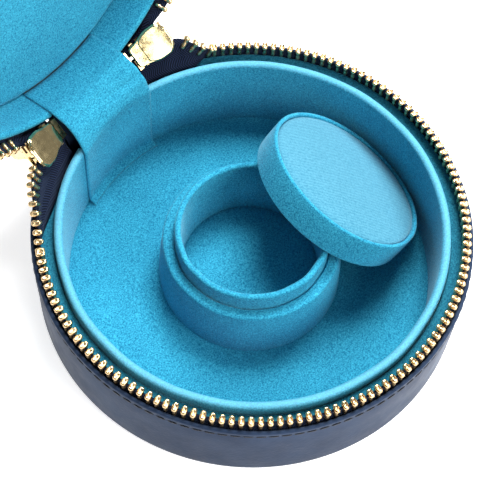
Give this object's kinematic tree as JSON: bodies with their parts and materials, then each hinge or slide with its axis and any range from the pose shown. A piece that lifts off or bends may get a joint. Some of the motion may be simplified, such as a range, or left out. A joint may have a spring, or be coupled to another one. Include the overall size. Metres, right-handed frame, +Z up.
{
  "type": "leather jewellery case",
  "caption": "Round zip-around leather jewellery case with suede lining, hinged lid, central ring pod and loose padded cap.",
  "frame": {"origin": "centre of the underside, on the surface that the case stands on", "axes": "+Z up; +Y towards the fold that joins the lid to the base; +X to the right, seen from the front"},
  "size_m": [0.1248, 0.1559, 0.1533],
  "materials": {
    "leather": "satin",
    "suede": "matte",
    "tape": "matte",
    "zip_metal": "polished",
    "board": "matte"
  },
  "bodies": {
    "base": {"base_bottom_leather": "leather", "base_wall_leather": "leather", "base_bottom_board": "board", "base_wall_board": "board", "base_zip_tape": "tape", "base_zip_teeth": "zip_metal", "base_ledge_lining": "suede", "tray_wall": "suede", "tray_floor_pad": "suede", "pod_ring": "suede", "pod_collar": "suede", "pod_floor_pad": "suede", "hinge_leather_base": "leather", "hinge_lining_base": "suede"},
    "lid": {"lid_top_leather": "leather", "lid_wall_leather": "leather", "lid_top_board": "board", "lid_wall_board": "board", "lid_zip_tape": "tape", "lid_zip_teeth": "zip_metal", "lid_ledge_lining": "suede", "lid_rim_wall": "suede", "lid_disc_pad": "suede", "hinge_leather_lid": "leather", "hinge_lining_lid": "suede"},
    "zip_end_left": {"zip_end_tape_left": "tape", "zip_end_teeth_left": "zip_metal", "zip_stop_left": "zip_metal"},
    "zip_end_right": {"zip_end_tape_right": "tape", "zip_end_teeth_right": "zip_metal", "zip_stop_right": "zip_metal"},
    "slider_left": {"slider_left": "zip_metal"},
    "slider_right": {"slider_right": "zip_metal"},
    "pull_left": {"pull_left": "zip_metal"},
    "pull_right": {"pull_right": "zip_metal"},
    "cap": {"cap_side_band": "suede", "cap_inner_lining": "suede", "cap_board": "board", "cap_top_pad": "suede"}
  },
  "joints": [
    {"name": "lid_hinge", "type": "hinge", "parent": "base", "child": "lid", "pos_m": [0, 0.06108, 0.032], "axis": [-1, 0, 0], "range_deg": [-98, 0]},
    {"name": "zip_end_left_fold", "type": "hinge", "parent": "base", "child": "zip_end_left", "pos_m": [0, 0.06108, 0.032], "axis": [-1, 0, 0], "range_deg": [-49, 0]},
    {"name": "zip_end_right_fold", "type": "hinge", "parent": "base", "child": "zip_end_right", "pos_m": [0, 0.06108, 0.032], "axis": [-1, 0, 0], "range_deg": [-49, 0]},
    {"name": "slider_left_travel", "type": "hinge", "parent": "zip_end_left", "child": "slider_left", "pos_m": [0, 0.02274, 0.07961], "axis": [0, 0.7547, 0.6561], "range_deg": [0, 150]},
    {"name": "slider_right_travel", "type": "hinge", "parent": "zip_end_right", "child": "slider_right", "pos_m": [0, 0.02274, 0.07961], "axis": [0, -0.7547, -0.6561], "range_deg": [0, 150]},
    {"name": "pull_left_swing", "type": "hinge", "parent": "slider_left", "child": "pull_left", "pos_m": [-0.02421, 0.06108, 0.03551], "axis": [0, -0.7547, -0.6561], "range_deg": [-100, 34]},
    {"name": "pull_right_swing", "type": "hinge", "parent": "slider_right", "child": "pull_right", "pos_m": [0.02421, 0.06108, 0.03551], "axis": [0, 0.7547, 0.6561], "range_deg": [-100, 34]},
    {"name": "cap_lift", "type": "slide", "parent": "base", "child": "cap", "axis": [0, 0, 1], "range_m": [0, 0.06]}
  ],
  "couplings": [
    {"joint": "zip_end_left_fold", "follows": "lid_hinge", "ratio": 0.5},
    {"joint": "zip_end_right_fold", "follows": "lid_hinge", "ratio": 0.5}
  ]
}
